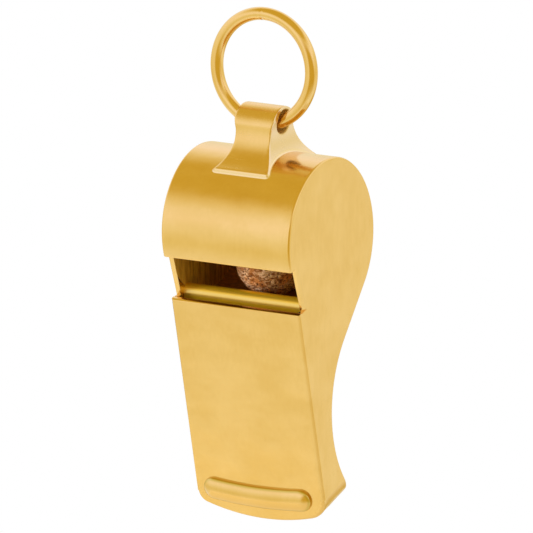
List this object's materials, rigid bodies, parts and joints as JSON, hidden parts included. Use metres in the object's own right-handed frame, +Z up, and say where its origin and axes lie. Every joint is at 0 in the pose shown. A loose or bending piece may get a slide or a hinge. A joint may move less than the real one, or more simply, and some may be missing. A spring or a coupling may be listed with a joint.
{
  "type": "pea_whistle",
  "caption": "Flat-mouthed pea whistle: a round barrel with a sound window over a curved mouthpiece, a cork ball inside and a hanging ring held in a flared bail.",
  "frame": {"origin": "the inside top of the ring, where a cord or finger holds it", "axes": "+X along the barrel towards the right side plate, +Y towards the back, away from the sound window, +Z up to the ring"},
  "size_m": [0.0192, 0.0206, 0.0669],
  "materials": {
    "gold_sheet": "satin polished gold sheet",
    "gold_cast": "buffed gold",
    "gold_wire": "bright drawn gold wire",
    "cork": "matt fibrous cork"
  },
  "bodies": {
    "hanger": {"ring": "gold_wire"},
    "casing": {"bail": "gold_cast", "barrel_wrap": "gold_sheet", "left_side_plate": "gold_sheet", "right_side_plate": "gold_sheet", "front_plate": "gold_sheet", "bite_ridge": "gold_sheet", "windway_floor": "gold_sheet", "chamber_floor": "gold_sheet", "tip_end_plate": "gold_sheet"},
    "ball": {"pea": "cork"}
  },
  "joints": [
    {"name": "ring_swing", "type": "hinge", "parent": "hanger", "child": "casing", "pos_m": [0, -0.0003, -0.01285], "axis": [1, 0, 0], "range_deg": [-127, 127]},
    {"name": "pea_roll", "type": "hinge", "parent": "casing", "child": "ball", "pos_m": [0, -0.00045, -0.0269], "axis": [1, 0, 0], "range_deg": [-8, 306]}
  ]
}
